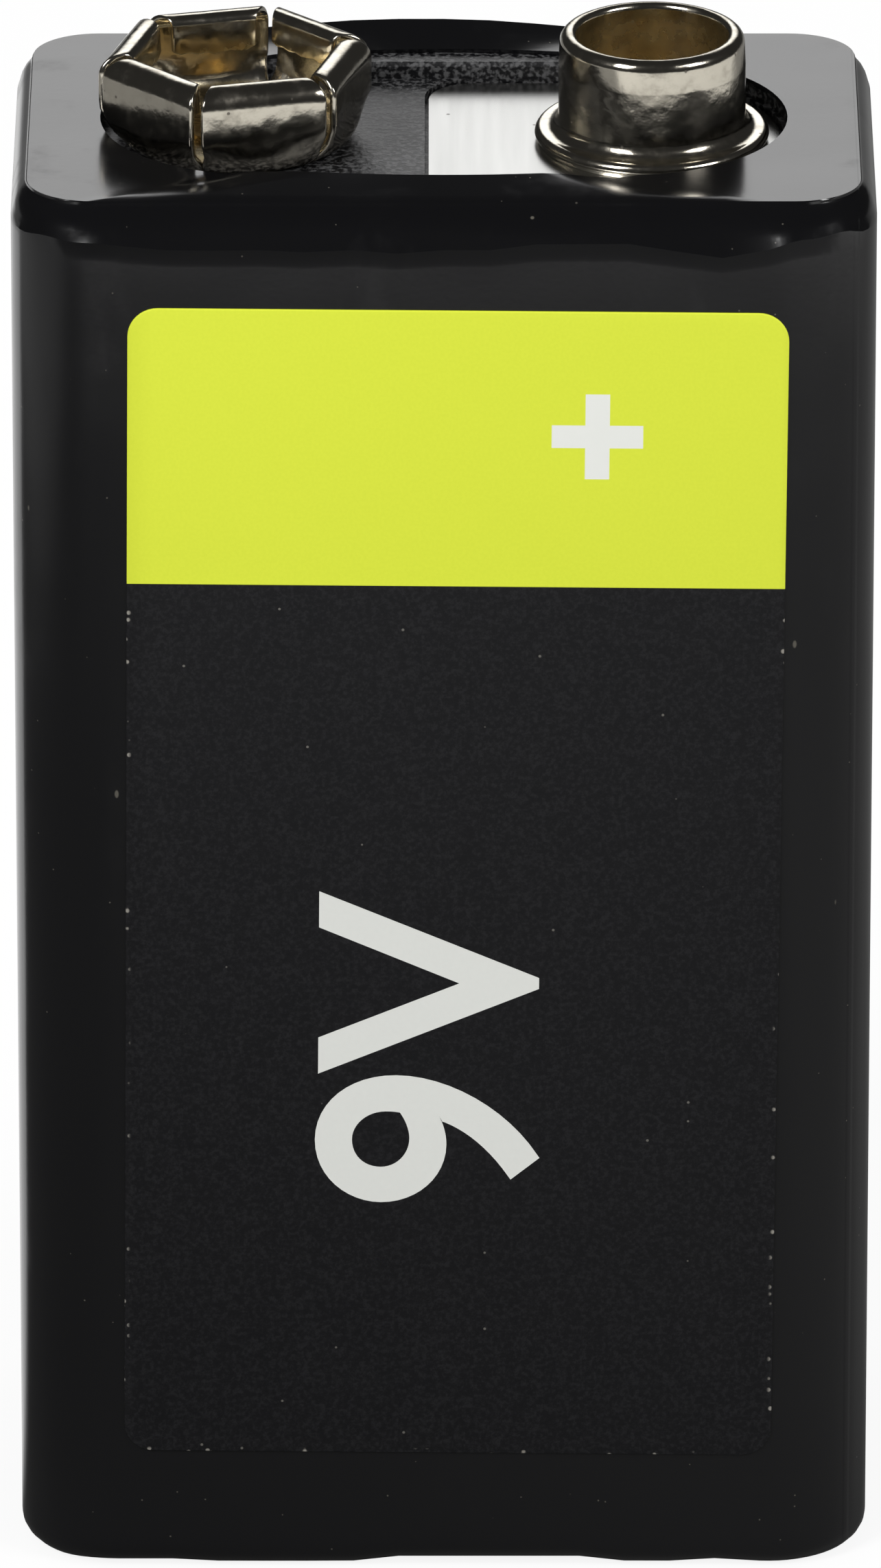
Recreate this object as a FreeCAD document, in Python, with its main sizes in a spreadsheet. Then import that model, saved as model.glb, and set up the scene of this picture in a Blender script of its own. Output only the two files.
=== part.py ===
import FreeCAD, Part

import math
import operator
import os
from types import SimpleNamespace

import Sketcher

# A rechargeable nine volt block: shrink film and label over a plastic case with snap terminals,
# and a stack of flat cells inside. Millimetres, +Z up, origin in the middle of the underside.
# The label faces -Y, the hexagonal socket stands at -X and the round stud at +X.

SIZES = {
    # the block, over its film
    "terminal_pitch": 12.7,
    "end_rim": 2.471,           # terminal recess to the end of the block
    "body_depth": 16.55,
    "body_height": 45.1,        # up to the flat film, without the terminals
    "corner_round": 3.0,        # upright corners
    "top_round": 1.3,
    "base_crop": 0.7,           # slope along the edges of the underside
    # shrink film
    "film_thick": 0.12,
    "film_gap": 0.02,           # between the film and the case
    "film_end_gap": 0.1,        # cut edge to board recess, at the two ends
    "film_pull_back": 0.85,     # the same at the middle of the long sides
    "film_base_lap": 2.6,       # width of film turned under the base
    # front label
    "label_width": 20.0,
    "label_tall": 38.0,
    "label_corner": 1.0,
    "label_thick": 0.08,
    "label_drop": 3.1,          # film top to the label's upper edge
    "label_shift": 0.28,        # to the right of the middle
    "label_turn": -0.5,         # degrees
    # case and base
    "case_wall": 0.8,
    "case_top_wall": 1.6,
    "inner_corner": 1.6,
    "board_side_play": 0.52,    # socket corners to the long sides of the terminal recess
    "board_end_play": 0.08,     # the same to its ends
    "board_depth": 0.5,
    "board_edge_crop": 0.12,
    "lid_thick": 1.2,
    "spigot_wall": 0.7,
    "spigot_gap": 0.02,         # spigot to the lead that crosses it
    "spigot_play": 0.06,
    # contact plate and its pocket
    "plate_thick": 0.15,
    "plate_pocket_depth": 0.25,
    "plate_long_side": 6.81,    # stud axis to the plate's edge towards the socket
    "plate_end_play": 0.32,     # stud's flange to the plate's outer edge
    "plate_end_flat": 0.3,      # straight part of that edge, each side of the middle
    "plate_corner": 1.4,
    "plate_edge_gap": 0.05,     # pocket wall to board recess wall
    "plate_play": 0.12,
    # terminals
    "stud_radius": 2.86,
    "stud_sheet": 0.25,
    "stud_fold_gap": 0.05,      # between the stud's two walls
    "stud_height": 3.51,
    "stud_rim_crop": 0.16,
    "stud_foot_crop": 0.26,
    "flange_web": 0.06,         # flat between the stud's foot and the bead
    "flange_thick": 0.12,
    "flange_inset": 0.06,
    "bead_half": 0.2,
    "bead_crop": 0.12,
    "bead_lift": 0.02,          # bead's underside over the flange's edge
    "socket_flat": 3.77,        # axis to the outside of a petal
    "socket_sheet": 0.22,
    "socket_height": 2.9,
    "socket_roll": 0.3,
    "socket_roll_width": 0.65,
    "socket_throat": 2.79,      # axis to the innermost edge of a lip
    "socket_lip_drop": 1.1,
    "socket_bend": 0.45,
    "socket_slot": 0.3,
    "socket_relief": 0.28,      # radius of the hole at the foot of a slot
    "socket_turn": -16.0,       # degrees
    # rivets
    "rivet_shank": 0.95,
    "rivet_play": 0.05,         # shank to its hole
    "rivet_bore": 0.6,
    "rivet_head": 1.6,
    "rivet_head_thick": 0.2,
    # leads and cards
    "lead_thick": 0.12,
    "lead_width": 5.0,
    "lead_wall_gap": 0.06,
    "lead_end": 1.9,            # rivet axis to the end of a lead
    "lead_foot": 6.0,           # length of the leg on a cell
    "lead_bend": 0.2,
    "card_thick": 0.4,
    "card_play": 0.12,
    "card_crop": 1.2,           # cropped corners
    "top_card_thick": 0.3,
    "side_card_thick": 0.15,
    "side_card_width": 8.0,
    # cells
    "cell_side_play": 0.06,     # cells to the lead and the card beside them
    "cell_corner": 1.8,
    "cell_lid_crop": 0.7,
    "cell_lid_inset": 1.6,
    "cell_lid_rise": 0.3,
    "stack_play": 0.45,         # top card to the rivet tails
    "ring_thick": 0.14,
    "ring_inset": 0.2,
    "ring_play": 0.15,
    "link_gap": 0.3,
    "link_thick": 0.11,
    "link_width": 5.0,
    "link_reach": 10.0,
    "link_overhang": 0.15,
}
CELLS = 7
PETALS = 6
NEAR = 1e-4
SLOPE = 2 - math.sqrt(2)        # how much a 45 degree slope shrinks for each unit that its faces move in

doc = FreeCAD.newDocument("NineVoltBlock")
sheet = doc.addObject("Spreadsheet::Sheet", "Sizes")
for row, (alias, number) in enumerate(SIZES.items(), 1):
    sheet.set(f"A{row}", alias)
    sheet.set(f"B{row}", str(number))
    sheet.setAlias(f"B{row}", alias)
doc.recompute()


class Size:
    """A number with the sheet formula that gives it, so that sums of sizes stay formulas."""

    def __init__(self, value, formula):
        self.value = value
        self.formula = formula

    def __add__(self, other):
        return joined(self, other, "+", operator.add)

    def __radd__(self, other):
        return joined(other, self, "+", operator.add)

    def __sub__(self, other):
        return joined(self, other, "-", operator.sub)

    def __rsub__(self, other):
        return joined(other, self, "-", operator.sub)

    def __mul__(self, other):
        return joined(self, other, "*", operator.mul)

    def __rmul__(self, other):
        return joined(other, self, "*", operator.mul)

    def __truediv__(self, other):
        return joined(self, other, "/", operator.truediv)

    def __neg__(self):
        return joined(0, self, "-", operator.sub)

    def cosine(self):
        return Size(math.cos(math.radians(self.value)), f"cos({self.formula} * 1 deg)")


def as_size(number):
    return number if isinstance(number, Size) else Size(number, str(number))


def joined(first, second, sign, work):
    first = as_size(first)
    second = as_size(second)
    return Size(work(first.value, second.value), f"({first.formula} {sign} {second.formula})")


def bind(item, target, size):
    """Tie a property or a sketch dimension to the sheet."""
    item.setExpression(target, as_size(size).formula)


s = SimpleNamespace(**{alias: Size(sheet.get(alias), f"Sizes.{alias}") for alias in SIZES})

# Levels and half sizes that several pieces share
terminal_x = s.terminal_pitch / 2
socket_corner = s.socket_flat / math.cos(math.pi / PETALS)
board_half = socket_corner + s.board_side_play
board_end = terminal_x + socket_corner * (s.socket_turn + 180 / PETALS).cosine() + s.board_end_play
board_end_centre = board_end - board_half
body_half_width = board_end + s.end_rim
film_inside = s.film_thick + s.film_gap
case_half_width = body_half_width - film_inside
case_half_depth = s.body_depth / 2 - film_inside
case_corner = s.corner_round - film_inside
case_top = s.body_height - film_inside
room_half_width = case_half_width - s.case_wall
room_half_depth = case_half_depth - s.case_wall
ceiling = case_top - s.case_top_wall
board = case_top - s.board_depth
plate_floor = board - s.plate_pocket_depth
plate_top = plate_floor + s.plate_thick
stud_bore = s.stud_radius - 2 * s.stud_sheet - s.stud_fold_gap
flange_radius = s.stud_radius + s.stud_foot_crop + s.flange_web + 2 * s.bead_half
rivet_hole = s.rivet_shank + s.rivet_play
plate_left = terminal_x - s.plate_long_side
plate_right = terminal_x + flange_radius + s.plate_end_play
plate_half_depth = board_half - s.plate_edge_gap - s.plate_play
plate_end_round = plate_half_depth - s.plate_end_flat
lid_top = film_inside + s.lid_thick
cells_floor = lid_top + s.card_thick + s.lead_thick
tails = ceiling - s.lead_thick - s.rivet_head_thick
stack_top = tails - s.stack_play - s.top_card_thick - s.lead_thick
cell_height = (stack_top - cells_floor - s.link_gap * (CELLS - 1)) / CELLS
cell_pitch = cell_height + s.link_gap
can_height = cell_height - s.cell_lid_rise
lead_outside = room_half_width - s.lead_wall_gap
cell_gap = s.lead_wall_gap + s.lead_thick + s.side_card_thick + s.cell_side_play
cell_half_width = room_half_width - cell_gap
cell_half_depth = room_half_depth - cell_gap


def new_body(name):
    body = doc.addObject("PartDesign::Body", name)
    body.Label = name
    return body


def new_sketch(body, name, plane="XY_Plane", level=0):
    """A sketch on one of the body's own origin planes, moved along its normal."""
    sketch = body.newObject("Sketcher::SketchObject", name)
    support = next(item for item in body.Origin.OriginFeatures if item.Role == plane)
    sketch.AttachmentSupport = [(support, "")]
    sketch.MapMode = "FlatFace"
    bind(sketch, "AttachmentOffset.Base.z", level)
    return sketch


def dimension(sketch, kind, size, *where):
    index = sketch.addConstraint(Sketcher.Constraint(kind, *where, as_size(size).value))
    bind(sketch, f"Constraints[{index}]", size)


def fix_point(sketch, edge, point, across, up):
    dimension(sketch, "DistanceX", across, -1, 1, edge, point)
    dimension(sketch, "DistanceY", up, -1, 1, edge, point)


def polygon(sketch, corners):
    """A closed outline of straight edges, each corner held by two dimensions."""
    first = sketch.GeometryCount
    points = [FreeCAD.Vector(as_size(across).value, as_size(up).value, 0) for across, up in corners]
    count = len(corners)
    for turn in range(count):
        sketch.addGeometry(Part.LineSegment(points[turn], points[(turn + 1) % count]), False)
    for turn in range(count):
        after = first + (turn + 1) % count
        sketch.addConstraint(Sketcher.Constraint("Coincident", first + turn, 2, after, 1))
        fix_point(sketch, first + turn, 1, *corners[turn])


def circle(sketch, across, up, radius):
    middle = FreeCAD.Vector(as_size(across).value, as_size(up).value, 0)
    edge = sketch.addGeometry(Part.Circle(middle, FreeCAD.Vector(0, 0, 1), radius.value), False)
    fix_point(sketch, edge, 3, across, up)
    dimension(sketch, "Radius", radius, edge)


def arc(sketch, across, up, radius, start, end):
    """An arc about a fixed centre. Its ends are joined to their neighbours afterwards."""
    middle = FreeCAD.Vector(as_size(across).value, as_size(up).value, 0)
    ring = Part.Circle(middle, FreeCAD.Vector(0, 0, 1), as_size(radius).value)
    edge = sketch.addGeometry(Part.ArcOfCircle(ring, math.radians(start), math.radians(end)), False)
    fix_point(sketch, edge, 3, across, up)
    dimension(sketch, "Radius", radius, edge)
    return edge


def tangent_line(sketch, before, after):
    """A line from the end of one arc to the start of the next, tangent to both."""
    start = sketch.getPoint(before, 2)
    end = sketch.getPoint(after, 1)
    line = sketch.addGeometry(Part.LineSegment(start, end), False)
    sketch.addConstraint(Sketcher.Constraint("Tangent", before, 2, line, 1))
    sketch.addConstraint(Sketcher.Constraint("Tangent", line, 2, after, 1))


def rounded_rectangle(sketch, left, right, low, high, left_round, right_round=None):
    right_round = right_round or left_round
    corners = [
        arc(sketch, right - right_round, high - right_round, right_round, 0, 90),
        arc(sketch, left + left_round, high - left_round, left_round, 90, 180),
        arc(sketch, left + left_round, low + left_round, left_round, 180, 270),
        arc(sketch, right - right_round, low + right_round, right_round, 270, 360),
    ]
    for turn, corner in enumerate(corners):
        tangent_line(sketch, corner, corners[(turn + 1) % len(corners)])


def centred_rectangle(sketch, half_width, half_depth, corner):
    rounded_rectangle(sketch, -half_width, half_width, -half_depth, half_depth, corner)


def racetrack(sketch, end_centre, radius):
    right = arc(sketch, end_centre, 0, radius, -90, 90)
    left = arc(sketch, -end_centre, 0, radius, 90, 270)
    tangent_line(sketch, right, left)
    tangent_line(sketch, left, right)


def bowed_racetrack(sketch, end_centre, radius, middle):
    """A racetrack whose long sides bow out to a half width at the middle, tangent to the ends."""
    centre = end_centre.value
    half = middle.value
    bow = (centre ** 2 + half ** 2 - radius.value ** 2) / (half - radius.value) / 2
    lean = math.degrees(math.atan2(bow - half, centre))
    right = arc(sketch, end_centre, 0, radius, -lean, lean)
    left = arc(sketch, -end_centre, 0, radius, 180 - lean, 180 + lean)
    for sign, before, after, start in ((1, right, left, lean), (-1, left, right, 180 + lean)):
        ring = Part.Circle(FreeCAD.Vector(0, sign * (half - bow), 0), FreeCAD.Vector(0, 0, 1), bow)
        sweep = math.radians(180 - 2 * lean)
        start = math.radians(start)
        side = sketch.addGeometry(Part.ArcOfCircle(ring, start, start + sweep), False)
        sketch.addConstraint(Sketcher.Constraint("Tangent", before, 2, side, 1))
        sketch.addConstraint(Sketcher.Constraint("Tangent", side, 2, after, 1))
        crest = sketch.addGeometry(Part.Point(FreeCAD.Vector(0, sign * half, 0)), True)
        fix_point(sketch, crest, 1, 0, sign * middle)
        sketch.addConstraint(Sketcher.Constraint("PointOnObject", crest, 1, side))


def extrude(body, kind, name, sketch, length, symmetric=False, backwards=False):
    feature = body.newObject(kind, name)
    feature.Profile = (sketch, [""])
    feature.Type = "Length"
    feature.SideType = "Symmetric" if symmetric else "One side"
    feature.Reversed = backwards
    bind(feature, "Length", length)
    return feature


def pad(body, name, sketch, length, **options):
    return extrude(body, "PartDesign::Pad", name, sketch, length, **options)


def pocket(body, name, sketch, length, **options):
    """A cut that has to take material away."""
    doc.recompute()
    before = body.Shape.Volume
    feature = extrude(body, "PartDesign::Pocket", name, sketch, length, **options)
    doc.recompute()
    if body.Shape.Volume > before - NEAR:
        raise RuntimeError(f"{name} cuts nothing")
    return feature


def revolve(body, name, sketch):
    feature = body.newObject("PartDesign::Revolution", name)
    feature.Profile = (sketch, [""])
    feature.ReferenceAxis = (sketch, ["V_Axis"])
    feature.Angle = 360
    return feature


def dress(body, kind, name, chosen):
    """A fillet or chamfer on the edges of the body so far that the test in chosen picks."""
    doc.recompute()
    base = body.Tip
    picked = [f"Edge{number}" for number, edge in enumerate(base.Shape.Edges, 1) if chosen(edge)]
    if not picked:
        raise RuntimeError(f"{name} finds no edge")
    feature = body.newObject(kind, name)
    feature.Base = (base, picked)
    return feature


def fillet(body, name, radius, chosen):
    bind(dress(body, "PartDesign::Fillet", name, chosen), "Radius", radius)


def chamfer(body, name, size, chosen):
    bind(dress(body, "PartDesign::Chamfer", name, chosen), "Size", size)


def at_level(level, within=None):
    """Picks the level edges at one height, and of those only the ones within half a depth if given."""
    height = as_size(level).value

    def chosen(edge):
        points = [vertex.Point for vertex in edge.Vertexes] + [edge.CenterOfMass]
        if any(abs(point.z - height) > NEAR for point in points):
            return False
        return within is None or all(abs(point.y) < within.value + NEAR for point in points)

    return chosen


def ring_at(radius, level):
    """Picks the full circle of one radius about the axis at one level."""
    wanted = as_size(radius).value
    height = as_size(level).value

    def chosen(edge):
        curve = edge.Curve
        round_edge = isinstance(curve, Part.Circle)
        return round_edge and abs(curve.Radius - wanted) < NEAR and abs(curve.Center.z - height) < NEAR

    return chosen


def edge_through(across, up):
    """Picks the straight edges that run along Y through one point of the XZ plane."""
    x = as_size(across).value
    z = as_size(up).value

    def chosen(edge):
        points = [vertex.Point for vertex in edge.Vertexes]
        return all(abs(point.x - x) < NEAR and abs(point.z - z) < NEAR for point in points)

    return chosen


def cropped_rectangle(sketch, half_width, half_depth, crop):
    """A die-cut card outline with its four corners cropped."""
    near = half_depth - crop
    polygon(sketch, [
        (half_width, -near),
        (half_width, near),
        (half_width - crop, half_depth),
        (crop - half_width, half_depth),
        (-half_width, near),
        (-half_width, -near),
        (crop - half_width, -half_depth),
        (half_width - crop, -half_depth),
    ])


def card(name, half_width, half_depth, low, thick):
    body = new_body(name)
    outline = new_sketch(body, name + "_outline", level=low)
    cropped_rectangle(outline, half_width, half_depth, s.card_crop)
    pad(body, name + "_sheet", outline, thick)
    return body


def block(name, half_width, half_depth, corner, low, high):
    """A body that starts as an upright block with rounded corners."""
    body = new_body(name)
    outline = new_sketch(body, name + "_outline", level=low)
    centred_rectangle(outline, half_width, half_depth, corner)
    pad(body, name + "_block", outline, high - low)
    return body


def make_shrink_sleeve():
    """Film over the whole block, turned in round the board recess and under the base."""
    outside = block("film_outside", body_half_width, s.body_depth / 2, s.corner_round,
                    Size(0, "0"), s.body_height)
    fillet(outside, "film_outside_top", s.top_round, at_level(s.body_height))
    chamfer(outside, "film_outside_base", s.base_crop, at_level(0))

    inside = block("film_inside", body_half_width - s.film_thick, s.body_depth / 2 - s.film_thick,
                   s.corner_round - s.film_thick, s.film_thick, s.body_height - s.film_thick)
    chamfer(inside, "film_inside_top", s.top_round - s.film_thick, at_level(s.body_height - s.film_thick))
    chamfer(inside, "film_inside_base", s.base_crop - SLOPE * s.film_thick, at_level(s.film_thick))

    mouth = new_sketch(inside, "film_mouth", level=s.body_height - s.film_thick)
    bowed_racetrack(mouth, board_end_centre, board_half + s.film_end_gap, board_half + s.film_pull_back)
    pad(inside, "film_mouth_cut", mouth, 2 * s.film_thick)

    under = new_sketch(inside, "film_under", level=s.film_thick)
    centred_rectangle(under, body_half_width - s.film_base_lap, s.body_depth / 2 - s.film_base_lap,
                      s.corner_round)
    pad(inside, "film_under_cut", under, 2 * s.film_thick, backwards=True)

    sleeve = doc.addObject("Part::Cut", "shrink_sleeve")
    sleeve.Label = "shrink_sleeve"
    sleeve.Base = outside
    sleeve.Tool = inside
    return sleeve


def make_front_label():
    body = new_body("front_label")
    outline = new_sketch(body, "label_outline", plane="XZ_Plane", level=s.body_depth / 2)
    bind(outline, "AttachmentOffset.Base.x", s.label_shift)
    bind(outline, "AttachmentOffset.Base.y", s.body_height - s.label_drop - s.label_tall / 2)
    bind(outline, "AttachmentOffset.Rotation.Angle", s.label_turn)
    centred_rectangle(outline, s.label_width / 2, s.label_tall / 2, s.label_corner)
    pad(body, "label_sheet", outline, s.label_thick)
    return body


def make_case_shell():
    """Moulded case, open below, with the board recess, plate pocket and rivet holes in its top."""
    body = block("case_shell", case_half_width, case_half_depth, case_corner, lid_top, case_top)
    chamfer(body, "case_top_edge", s.top_round - film_inside, at_level(case_top))

    room = new_sketch(body, "case_room", level=lid_top)
    centred_rectangle(room, room_half_width, room_half_depth, s.inner_corner)
    pocket(body, "case_room_cut", room, ceiling - lid_top, backwards=True)

    recess = new_sketch(body, "board_recess", level=case_top)
    racetrack(recess, board_end_centre, board_half)
    pocket(body, "board_recess_cut", recess, s.board_depth)
    chamfer(body, "board_recess_edge", s.board_edge_crop, at_level(case_top, within=board_half))

    seat = new_sketch(body, "plate_pocket", level=board)
    seat_half_depth = plate_half_depth + s.plate_play
    rounded_rectangle(seat, plate_left - s.plate_play, plate_right + s.plate_play, -seat_half_depth,
                      seat_half_depth, s.plate_corner + s.plate_play, plate_end_round + s.plate_play)
    pocket(body, "plate_pocket_cut", seat, s.plate_pocket_depth)

    holes = new_sketch(body, "rivet_holes", level=board)
    circle(holes, terminal_x, 0, rivet_hole)
    circle(holes, -terminal_x, 0, rivet_hole)
    pocket(body, "rivet_holes_cut", holes, s.case_top_wall)
    return body


def make_base_lid():
    """Base plate with a low spigot that centres it in the case."""
    body = block("base_lid", case_half_width, case_half_depth, case_corner, film_inside, lid_top)
    chamfer(body, "lid_base_edge", s.base_crop - SLOPE * film_inside, at_level(film_inside))

    spigot_half_width = room_half_width - s.spigot_play
    spigot_half_depth = room_half_depth - s.spigot_play
    spigot = new_sketch(body, "lid_spigot", level=lid_top)
    centred_rectangle(spigot, spigot_half_width, spigot_half_depth, s.inner_corner - s.spigot_play)
    centred_rectangle(spigot, spigot_half_width - s.spigot_wall, spigot_half_depth - s.spigot_wall,
                      s.inner_corner - s.spigot_play - s.spigot_wall)
    pad(body, "lid_spigot_ring", spigot, s.card_thick - s.spigot_gap)
    return body


def make_contact_plate():
    body = new_body("contact_plate")
    outline = new_sketch(body, "plate_outline", level=plate_floor)
    rounded_rectangle(outline, plate_left, plate_right, -plate_half_depth, plate_half_depth,
                      s.plate_corner, plate_end_round)
    pad(body, "plate_sheet", outline, s.plate_thick)
    hole = new_sketch(body, "plate_hole", level=plate_top)
    circle(hole, terminal_x, 0, rivet_hole)
    pocket(body, "plate_hole_cut", hole, s.plate_thick)
    return body


def make_positive_stud():
    """Drawn stud: a wall folded over at the top, with its floor inside and a beaded flange outside."""
    body = new_body("positive_stud")
    top = s.stud_height
    wall = s.stud_radius - s.stud_sheet
    inner_wall = stud_bore + s.stud_sheet
    rim = flange_radius
    bead_low = s.flange_thick + s.bead_lift
    web = bead_low + s.bead_half
    bead_high = web + s.bead_half
    section = new_sketch(body, "stud_section", plane="XZ_Plane")
    polygon(section, [
        (rivet_hole, 0),
        (rivet_hole, s.stud_sheet),
        (stud_bore, s.stud_sheet),
        (stud_bore, top),
        (s.stud_radius, top),
        (s.stud_radius, web),
        (rim - 2 * s.bead_half, web),
        (rim - 2 * s.bead_half + s.bead_crop, bead_high),
        (rim - s.bead_crop, bead_high),
        (rim, bead_high - s.bead_crop),
        (rim, bead_low + s.bead_crop),
        (rim - s.bead_crop, bead_low),
        (rim - s.flange_inset, s.flange_thick),
        (rim - s.flange_inset, 0),
        (wall, 0),
        (wall, top - s.stud_sheet),
        (inner_wall, top - s.stud_sheet),
        (inner_wall, 0),
    ])
    revolve(body, "stud_wall", section)
    chamfer(body, "stud_rim_inside", s.stud_rim_crop, ring_at(stud_bore, top))
    chamfer(body, "stud_rim_outside", s.stud_rim_crop, ring_at(s.stud_radius, top))
    chamfer(body, "stud_foot", s.stud_foot_crop, ring_at(s.stud_radius, web))
    bind(body, "Placement.Base.x", terminal_x)
    bind(body, "Placement.Base.z", plate_top)
    return body


def make_negative_socket():
    """Spring socket of six petals, rolled in at the top, cut from one sheet."""
    body = new_body("negative_socket")
    wall = s.socket_flat - s.socket_sheet
    roll = s.socket_flat - s.socket_roll_width
    lip_end = s.socket_height - s.socket_lip_drop
    roof = s.socket_height - s.socket_sheet
    section = new_sketch(body, "petal_section", plane="XZ_Plane")
    polygon(section, [
        (s.rivet_head, 0),
        (s.socket_flat, 0),
        (s.socket_flat, s.socket_height),
        (roll, s.socket_height),
        (s.socket_throat, lip_end),
        (s.socket_throat + s.socket_sheet, lip_end),
        (roll + s.socket_sheet, roof),
        (wall, roof),
        (wall, s.socket_sheet),
        (s.rivet_head, s.socket_sheet),
    ])
    pad(body, "petal_strip", section, 2 * s.socket_flat, symmetric=True)
    fillet(body, "petal_bend", s.socket_bend, edge_through(s.socket_flat, 0))
    fillet(body, "petal_bend_inside", s.socket_bend - s.socket_sheet, edge_through(wall, s.socket_sheet))
    fillet(body, "petal_roll", s.socket_roll, edge_through(s.socket_flat, s.socket_height))

    sides = new_sketch(body, "petal_sides")
    lean = math.tan(math.pi / PETALS)
    slant = s.socket_slot / 2 / math.cos(math.pi / PETALS)
    near = s.socket_throat / 2
    far = s.socket_flat + s.socket_slot
    for sign in (1, -1):
        polygon(sides, [
            (near, sign * (near * lean - slant)),
            (far, sign * (far * lean - slant)),
            (far, sign * (far + far)),
            (near, sign * (far + far)),
        ])
    pocket(body, "petal_sides_cut", sides, s.socket_height, backwards=True)

    ring = body.newObject("PartDesign::PolarPattern", "petals")
    ring.Axis = (section, ["V_Axis"])
    ring.TransformMode = "Whole shape"
    ring.Angle = 360
    ring.Occurrences = PETALS
    body.Tip = ring

    floor = new_sketch(body, "socket_floor")
    circle(floor, 0, 0, wall - s.socket_bend + s.socket_sheet)
    circle(floor, 0, 0, rivet_hole)
    pad(body, "socket_floor_disc", floor, s.socket_sheet)

    relief = new_sketch(body, "slot_relief")
    corner = s.socket_flat - s.socket_bend
    for turn in range(PETALS):
        angle = math.radians(30 + 60 * turn)
        reach = corner / math.cos(math.pi / PETALS)
        circle(relief, reach * math.cos(angle), reach * math.sin(angle), s.socket_relief)
    pocket(body, "slot_relief_cut", relief, s.socket_sheet, backwards=True)

    bind(body, "Placement.Base.x", -terminal_x)
    bind(body, "Placement.Base.z", board)
    bind(body, "Placement.Rotation.Angle", s.socket_turn)
    return body


def make_rivet(name, across, floor_top):
    """Eyelet with its head on a terminal's floor and its tail clinched under the lead."""
    body = new_body(name)
    tail_top = ceiling - s.lead_thick
    section = new_sketch(body, name + "_section", plane="XZ_Plane")
    polygon(section, [
        (s.rivet_bore, tails),
        (s.rivet_head, tails),
        (s.rivet_head, tail_top),
        (s.rivet_shank, tail_top),
        (s.rivet_shank, floor_top),
        (s.rivet_head, floor_top),
        (s.rivet_head, floor_top + s.rivet_head_thick),
        (s.rivet_bore, floor_top + s.rivet_head_thick),
    ])
    revolve(body, name + "_turned", section)
    bind(body, "Placement.Base.x", across)
    return body


def make_strip(name, corners, bends, hole_x, sketch_name):
    """A folded nickel strip from its side outline, with a rivet hole in its upper leg."""
    body = new_body(name)
    side = new_sketch(body, sketch_name, plane="XZ_Plane")
    polygon(side, corners)
    pad(body, name + "_strip", side, s.lead_width, symmetric=True)
    for number, (across, up) in enumerate(bends, 1):
        fillet(body, f"{name}_bend_{number}", s.lead_bend, edge_through(across, up))
    hole = new_sketch(body, name + "_hole", level=ceiling)
    circle(hole, hole_x, 0, rivet_hole)
    pocket(body, name + "_hole_cut", hole, s.lead_thick)
    return body


def make_positive_lead():
    """From the stud's rivet, down beside the cells and under the lowest one."""
    inside = lead_outside - s.lead_thick
    low = lid_top + s.card_thick
    end = terminal_x - s.lead_end
    foot = cell_half_width - s.lead_foot
    return make_strip("positive_lead", [
        (end, ceiling),
        (end, ceiling - s.lead_thick),
        (inside, ceiling - s.lead_thick),
        (inside, cells_floor),
        (foot, cells_floor),
        (foot, low),
        (lead_outside, low),
        (lead_outside, ceiling),
    ], [(lead_outside, ceiling), (lead_outside, low)], terminal_x, "positive_lead_side")


def make_negative_lead():
    """From the socket's rivet, folded back onto the lid of the top cell."""
    outside = -cell_half_width + s.lead_thick
    inside = outside + s.lead_thick
    end = s.lead_end - terminal_x
    foot = outside + s.lead_foot
    return make_strip("negative_lead", [
        (end, ceiling),
        (outside, ceiling),
        (outside, stack_top),
        (foot, stack_top),
        (foot, stack_top + s.lead_thick),
        (inside, stack_top + s.lead_thick),
        (inside, ceiling - s.lead_thick),
        (end, ceiling - s.lead_thick),
    ], [(outside, ceiling), (outside, stack_top)], -terminal_x, "negative_lead_side")


def make_base_card():
    reach = s.spigot_play + s.spigot_wall + s.card_play
    return card("base_card", room_half_width - reach, room_half_depth - reach, lid_top, s.card_thick)


def make_top_card():
    """Card over the top cell, notched where the negative lead is folded."""
    low = stack_top + s.lead_thick
    half_width = lead_outside - s.lead_thick - s.card_play
    half_depth = room_half_depth - s.card_play
    body = card("top_card", half_width, half_depth, low, s.top_card_thick)
    notch = new_sketch(body, "top_card_notch", level=low)
    notch_end = -cell_half_width + 2 * s.lead_thick + s.card_play
    side = s.lead_width / 2 + s.card_play
    polygon(notch, [
        (-half_width - 1, -side),
        (notch_end, -side),
        (notch_end, side),
        (-half_width - 1, side),
    ])
    pocket(body, "top_card_notch_cut", notch, s.top_card_thick, backwards=True)
    return body


def make_side_card():
    """Card between the positive lead and the cells."""
    body = new_body("side_card")
    low = cells_floor
    inside = cell_half_width + s.cell_side_play / 2
    outline = new_sketch(body, "side_card_outline", level=low)
    half = s.side_card_width / 2
    polygon(outline, [
        (inside, -half),
        (inside + s.side_card_thick, -half),
        (inside + s.side_card_thick, half),
        (inside, half),
    ])
    pad(body, "side_card_sheet", outline, stack_top - low)
    return body


def make_cell(number):
    """Flat sealed cell: a drawn can with a raised lid."""
    name = f"cell_{number}"
    body = block(name, cell_half_width, cell_half_depth, s.cell_corner, Size(0, "0"), can_height)
    lid = new_sketch(body, name + "_lid", level=can_height)
    cropped_rectangle(lid, cell_half_width - s.cell_lid_inset, cell_half_depth - s.cell_lid_inset,
                      s.cell_lid_crop)
    pad(body, name + "_lid_plate", lid, s.cell_lid_rise)
    bind(body, "Placement.Base.z", cells_floor + cell_pitch * (number - 1))
    return body


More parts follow.
